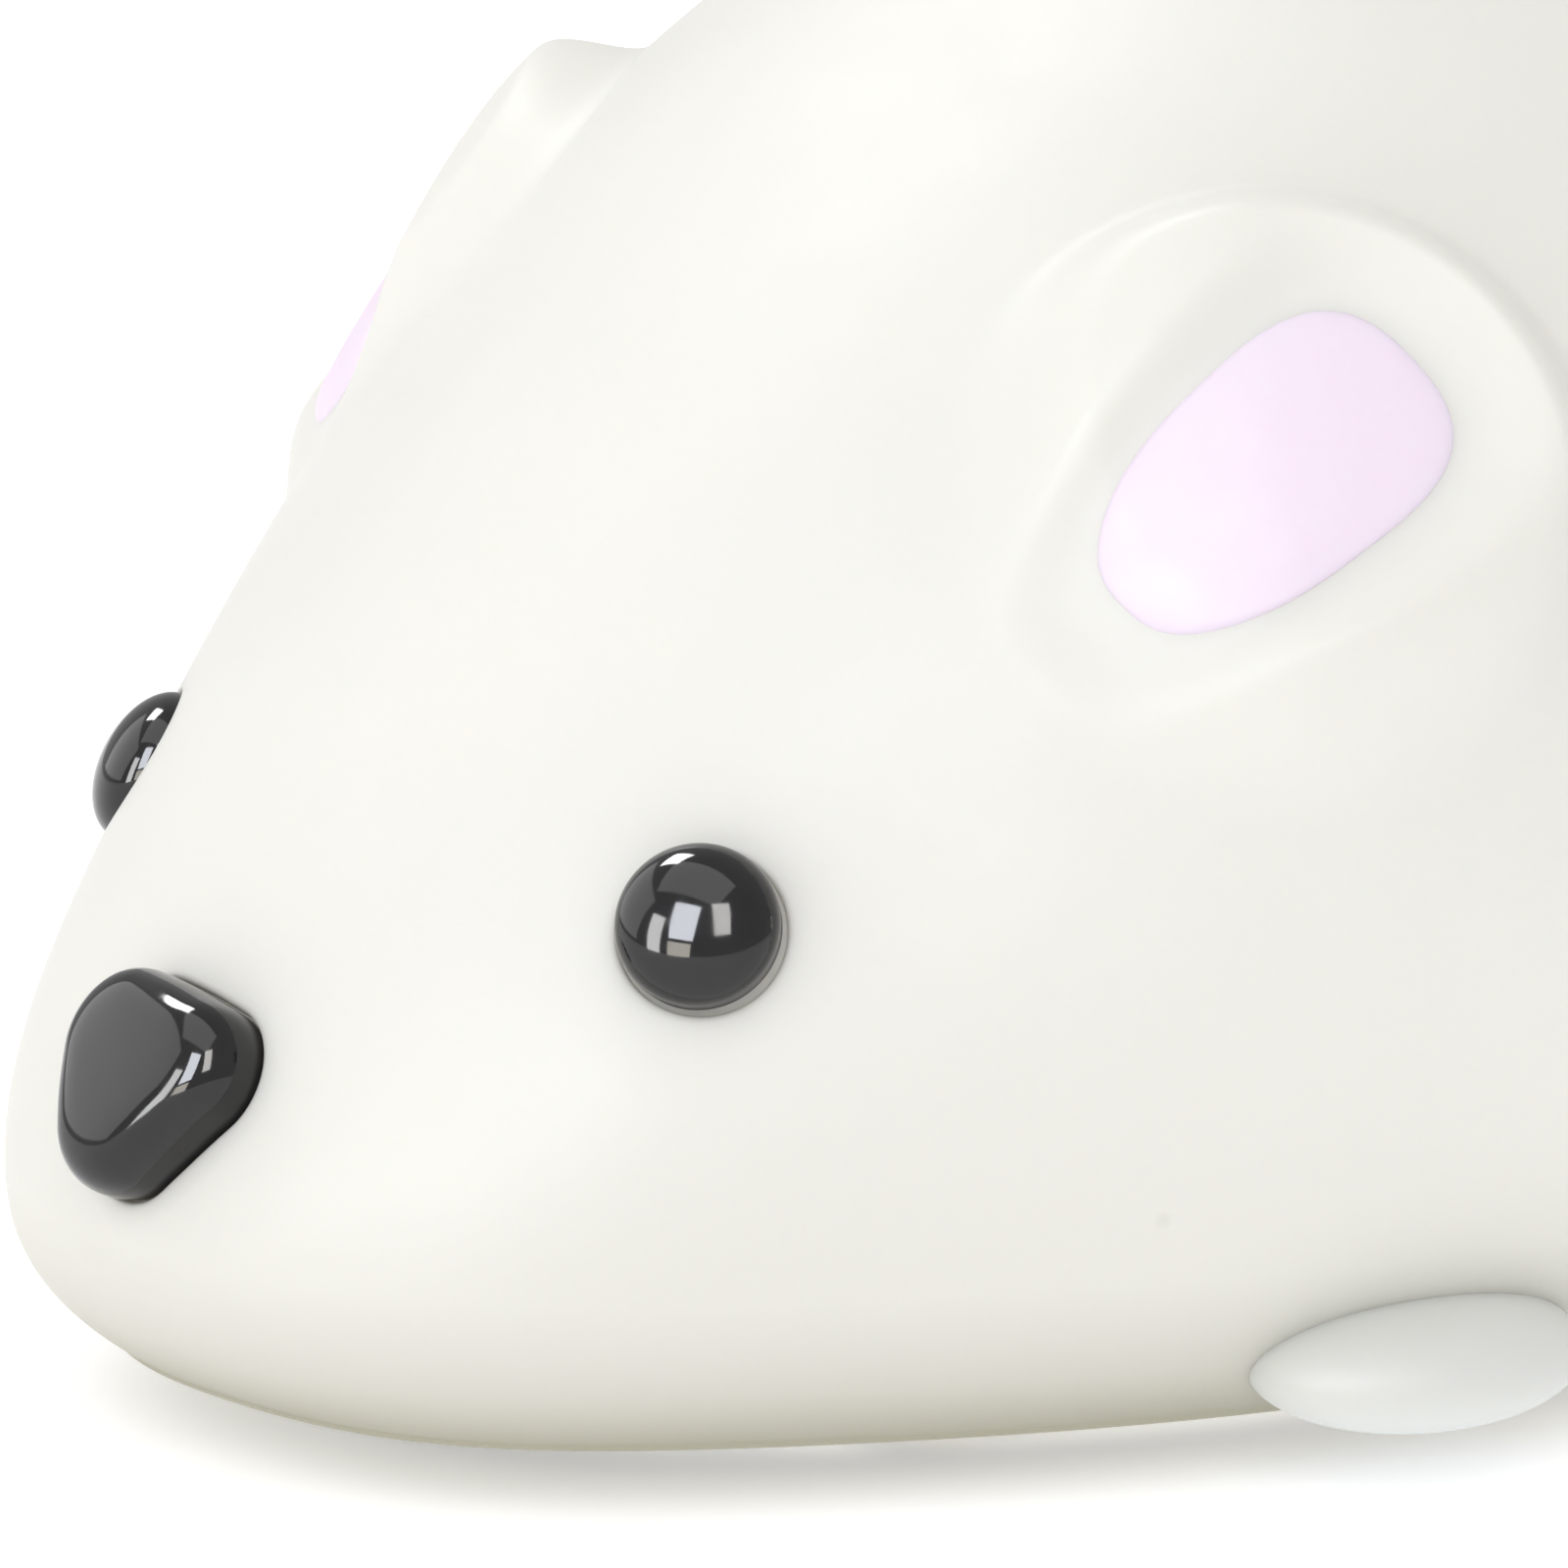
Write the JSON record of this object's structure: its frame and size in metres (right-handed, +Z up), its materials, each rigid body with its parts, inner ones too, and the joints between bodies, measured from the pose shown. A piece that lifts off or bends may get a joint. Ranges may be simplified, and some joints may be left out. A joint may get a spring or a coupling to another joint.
{
  "type": "clockwork mouse",
  "caption": "Wind-up toy mouse: smooth moulded body with round ears, bead eyes and nose, paws, tail and side key, on a base plate with a geared spring motor and wheels.",
  "frame": {"origin": "on the middle line, on the flat underside of the base plate", "axes": "+Z up, the nose points to -Y, and the mouse's own left side is +X"},
  "size_m": [0.0713, 0.1429, 0.05],
  "materials": {
    "white_plastic": "smooth matte moulded plastic",
    "pale_plastic": "fine grained matte moulded plastic",
    "black_gloss": "polished black",
    "pink_plastic": "smooth matte pale pink",
    "tail_rubber": "soft matte moulded rubber with fine rings",
    "steel": "stamped and turned steel",
    "plated_steel": "nickel plated steel",
    "brass": "turned brass",
    "spring_steel": "blued spring steel",
    "nylon": "moulded nylon",
    "tyre_rubber": "matte black rubber"
  },
  "bodies": {
    "chassis": {"body_shell": "white_plastic", "base_plate": "pale_plastic", "eye_left": "black_gloss", "eye_right": "black_gloss", "nose": "black_gloss", "ear_lining_left": "pink_plastic", "ear_lining_right": "pink_plastic", "front_paw_left": "white_plastic", "front_paw_right": "white_plastic", "rear_paw_left": "white_plastic", "rear_paw_right": "white_plastic", "tail": "tail_rubber", "case_screw_1": "steel", "case_screw_2": "steel", "case_screw_3": "steel", "motor_plate_left": "steel", "motor_plate_right": "steel", "frame_post_1": "brass", "frame_post_2": "brass", "frame_post_3": "brass", "frame_post_4": "brass", "motor_screw_front_left": "steel", "motor_screw_front_right": "steel", "motor_screw_rear_left": "steel", "motor_screw_rear_right": "steel", "mainspring": "spring_steel"},
    "great": {"great_wheel": "brass", "click_pin": "steel", "click_spring": "spring_steel"},
    "winding": {"winding_arbor": "steel", "ratchet_wheel": "steel", "winding_key": "plated_steel"},
    "click": {"click": "steel"},
    "second": {"second_arbor": "steel", "second_pinion": "brass", "second_wheel": "nylon"},
    "drive": {"drive_axle": "steel", "drive_pinion": "brass", "drive_wheel_left": "nylon", "drive_wheel_right": "nylon", "drive_tyre_left": "tyre_rubber", "drive_tyre_right": "tyre_rubber"},
    "front": {"front_axle": "steel", "front_wheel_left": "nylon", "front_wheel_right": "nylon"}
  },
  "joints": [
    {"name": "drive_turn", "type": "hinge", "parent": "chassis", "child": "drive", "pos_m": [0, 0.018, 0.0068], "axis": [1, 0, 0], "continuous": true},
    {"name": "second_turn", "type": "hinge", "parent": "chassis", "child": "second", "pos_m": [0, 0.01596, 0.01969], "axis": [1, 0, 0], "continuous": true},
    {"name": "great_turn", "type": "hinge", "parent": "chassis", "child": "great", "pos_m": [0, 0.00099, 0.01812], "axis": [1, 0, 0], "continuous": true},
    {"name": "key_wind", "type": "hinge", "parent": "great", "child": "winding", "pos_m": [0, 0.00099, 0.01812], "axis": [-1, 0, 0], "range_deg": [0, 1800]},
    {"name": "click_rock", "type": "hinge", "parent": "great", "child": "click", "pos_m": [0, 0.00099, 0.02612], "axis": [1, 0, 0], "range_deg": [0, 11], "stiffness_Nm_per_rad": 0.001, "springref_deg": -11.46},
    {"name": "front_roll", "type": "hinge", "parent": "chassis", "child": "front", "pos_m": [0, -0.02, 0.0033], "axis": [1, 0, 0], "continuous": true}
  ],
  "couplings": [
    {"joint": "second_turn", "follows": "drive_turn", "ratio": -0.3},
    {"joint": "great_turn", "follows": "drive_turn", "ratio": 0.075}
  ]
}
